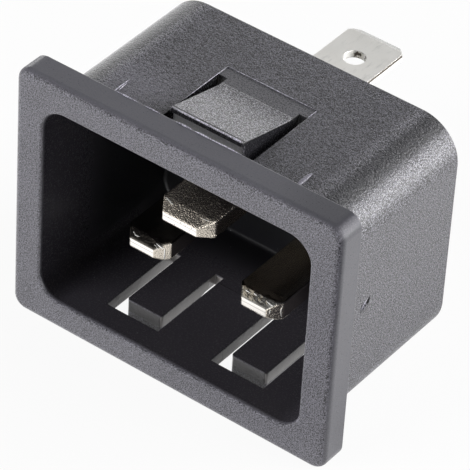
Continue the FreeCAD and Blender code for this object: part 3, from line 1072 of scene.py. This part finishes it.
def floor_shader(tree, stage):
    """Matt floor that glows for the rays that see it, and a little for all others.

    In reflections its glow is stronger than white and uneven, tuned to this camera's view:
    weaker before the right half and close beside the right wall, stronger far behind at the
    left, and nearly dark off the right front corner, where the matt floor hardly shows either.
    """
    x, y, _ = split_vector(tree, tree.nodes.new("ShaderNodeTexCoord").outputs["Object"])
    mirrored = tree.nodes.new("ShaderNodeLightPath").outputs["Is Glossy Ray"]
    before_right = multiply(tree, ease(tree, x, -8.0, 10.0), ease(tree, y, 0.0, -8.0))
    beside_right = multiply(
        tree, band(tree, x, (13.0, 15.5), (16.0, 28.0)), ease(tree, y, -4.0, 6.0)
    )
    behind_left = multiply(tree, ease(tree, x, -32.0, -50.0), ease(tree, y, 25.0, 45.0))
    off_corner = multiply(tree, ease(tree, x, 20.0, 27.0), ease(tree, y, -5.0, -10.0))
    level = add_shares(
        tree,
        1.0,
        (before_right, -0.54),
        (beside_right, -0.52),
        (behind_left, 0.45),
        (off_corner, -0.42),
    )
    strength = fade(tree, mirrored, 1.0, multiply(tree, level, stage.floor_level))
    in_mirror = add_shares(tree, FLOOR_GLOW_IN_MIRROR, (off_corner, 0.38))
    glowing = multiply(tree, seen_share(tree), fade(tree, mirrored, FLOOR_GLOW_IN_VIEW, in_mirror))
    glowing = highest(tree, glowing, FLOOR_GLOW_LEAST)
    matt = add_node(tree, "ShaderNodeBsdfDiffuse", {"Color": (*stage.floor_colour, 1.0)})
    glow = add_node(tree, "ShaderNodeEmission", {"Color": WHITE, "Strength": strength})
    mixed = {0: glowing, 1: matt.outputs[0], 2: glow.outputs[0]}
    return add_node(tree, "ShaderNodeMixShader", mixed)


def make_floor(stage, level):
    """Square pale floor under the object, nearly white to the camera, with a faint shadow."""
    half = stage.floor_size / 2
    corners = [(x * half, y * half, level) for x, y in ((-1, -1), (1, -1), (1, 1), (-1, 1))]
    mesh = bpy.data.meshes.new("floor")
    mesh.from_pydata(corners, [], [(0, 1, 2, 3)])
    floor = bpy.data.objects.new("floor", mesh)
    bpy.context.scene.collection.objects.link(floor)

    material = bpy.data.materials.new("pale_floor")
    material.use_nodes = True
    tree = material.node_tree
    tree.nodes.clear()
    surface = floor_shader(tree, stage).outputs[0]
    add_node(tree, "ShaderNodeOutputMaterial", {"Surface": surface})
    give_material(floor, material)
    return floor


def walls_in_mirrors(tree, stage):
    """Brightness that reflections see: low walls that pass into a ceiling.

    It is tuned to this camera's view.  The ceiling is dark to the right and dimmer at the far
    left.  The wall is several times brighter than white at the right and reaches higher there;
    at the far left it is lower, and brighter at its foot.
    """
    direction = tree.nodes.new("ShaderNodeTexCoord").outputs["Generated"]
    turned, _, rise = split_vector(tree, direction)
    leftmost = remap(tree, turned, -0.45, -0.60)
    ceiling = remap(tree, turned, -0.35, 0.15, stage.ceiling_level, CEILING_LEVEL_RIGHT)
    ceiling = add_shares(tree, ceiling, (leftmost, -0.30))
    bright, plain = stage.wall_level * WALL_RIGHT_GAIN, stage.wall_level
    wall = remap(tree, turned, 0.35, 0.65, plain, bright)
    foot = remap(tree, rise, 0.14, 0.02)
    wall = add_shares(tree, wall, (leftmost, foot, stage.wall_level * WALL_FOOT_GAIN))
    wall_end = add_shares(tree, WALL_END, (leftmost, -0.12))
    ceiling_start = remap(tree, turned, 0.3, 0.6, CEILING_START, CEILING_START_RIGHT)
    ceiling_start = add_shares(tree, ceiling_start, (leftmost, -0.22))
    return remap(tree, rise, wall_end, ceiling_start, wall, ceiling)


def make_surroundings(stage):
    """Even light from all round, white to the camera and with walls and ceiling in reflections."""
    world = bpy.data.worlds.new("studio")
    bpy.context.scene.world = world
    world.use_nodes = True
    tree = world.node_tree
    tree.nodes.clear()
    path = tree.nodes.new("ShaderNodeLightPath").outputs
    mirrored = highest(tree, path["Is Glossy Ray"], path["Is Transmission Ray"])
    strength = blend_value(tree, mirrored, stage.sky_level, walls_in_mirrors(tree, stage))
    strength = blend_value(tree, path["Is Camera Ray"], strength, 1.0)
    light = add_node(tree, "ShaderNodeBackground", {"Color": WHITE, "Strength": strength})
    add_node(tree, "ShaderNodeOutputWorld", {"Surface": light.outputs[0]})


def make_lamp(name, direction, distance, width, height, level):
    """Large flat lamp that faces the object; its watts give the wanted surface brightness."""
    data = bpy.data.lights.new(name, "AREA")
    data.shape = "RECTANGLE"
    data.size = width
    data.size_y = height
    data.energy = level * math.pi * width * height
    lamp = bpy.data.objects.new(name, data)
    bpy.context.scene.collection.objects.link(lamp)
    away = Vector(direction).normalized()
    lamp.location = away * distance
    lamp.rotation_mode = "QUATERNION"
    lamp.rotation_quaternion = away.to_track_quat("Z", "Y")
    return lamp


def make_camera(stage):
    """Camera at the given turn, height, roll and distance from its target."""
    turn, rise, roll = stage.camera_azimuth, stage.camera_elevation, stage.camera_roll
    level_part = math.cos(rise)
    back = Vector((math.sin(turn) * level_part, -math.cos(turn) * level_part, math.sin(rise)))
    level_right = (-back).cross(Vector(UPWARDS)).normalized()
    level_up = back.cross(level_right)
    right = level_right * math.cos(roll) + level_up * math.sin(roll)
    up = level_up * math.cos(roll) - level_right * math.sin(roll)
    data = bpy.data.cameras.new("camera")
    data.lens = stage.camera_lens
    data.sensor_width = SENSOR_WIDTH
    data.clip_start, data.clip_end = CAMERA_CLIP
    camera = bpy.data.objects.new("camera", data)
    bpy.context.scene.collection.objects.link(camera)
    camera.rotation_mode = "QUATERNION"
    camera.rotation_quaternion = Matrix((right, up, back)).transposed().to_quaternion()
    camera.location = Vector(stage.camera_target) + back * stage.camera_distance
    bpy.context.scene.camera = camera
    return camera


class INLET_OT_stage(Operator):
    """Make the floor, the surroundings, the lamps and the camera"""

    bl_idname = "inlet.stage"
    bl_label = "Stage"

    def execute(self, context):
        stage = context.scene.inlet_stage
        make_floor(stage, CAD_BOX[0].z)
        make_surroundings(stage)
        make_lamp("right_lamp", *RIGHT_LAMP, stage.key_level)
        front_lamp = make_lamp("front_lamp", *FRONT_LAMP, stage.fill_level)
        front_lamp.visible_glossy = False
        make_lamp("rear_lamp", *REAR_LAMP, stage.rear_level)
        make_camera(stage)
        context.scene.view_settings.view_transform = "Standard"
        return {"FINISHED"}


class INLET_PT_panel(Panel):
    """Sidebar panel with the sizes, colours and pieces of the inlet"""

    bl_idname = "INLET_PT_panel"
    bl_label = "Appliance inlet"
    bl_space_type = "VIEW_3D"
    bl_region_type = "UI"
    bl_category = "Inlet"

    def draw(self, context):
        for group in (context.scene.inlet_finish, context.scene.inlet_stage):
            column = self.layout.column(align=True)
            for name in group.bl_rna.properties.keys():
                if name not in ("rna_type", "name"):
                    column.prop(group, name)
        for operator in OPERATORS:
            self.layout.operator(operator.bl_idname)


OPERATORS = (INLET_OT_housing, INLET_OT_marks, INLET_OT_contacts, INLET_OT_ridges, INLET_OT_stage)
CLASSES = (InletFinish, InletStage, *OPERATORS, INLET_PT_panel)


def register():
    """Register the classes and hang the settings on the scene."""
    for cls in CLASSES:
        bpy.utils.register_class(cls)
    bpy.types.Scene.inlet_finish = PointerProperty(type=InletFinish)
    bpy.types.Scene.inlet_stage = PointerProperty(type=InletStage)


def unregister():
    """Take the settings and classes away again."""
    del bpy.types.Scene.inlet_stage
    del bpy.types.Scene.inlet_finish
    for cls in reversed(CLASSES):
        bpy.utils.unregister_class(cls)


def main():
    """Build everything in order."""
    register()
    bpy.ops.inlet.housing()
    bpy.ops.inlet.marks()
    bpy.ops.inlet.contacts()
    bpy.ops.inlet.ridges()
    bpy.ops.inlet.stage()


if __name__ == "__main__":
    main()
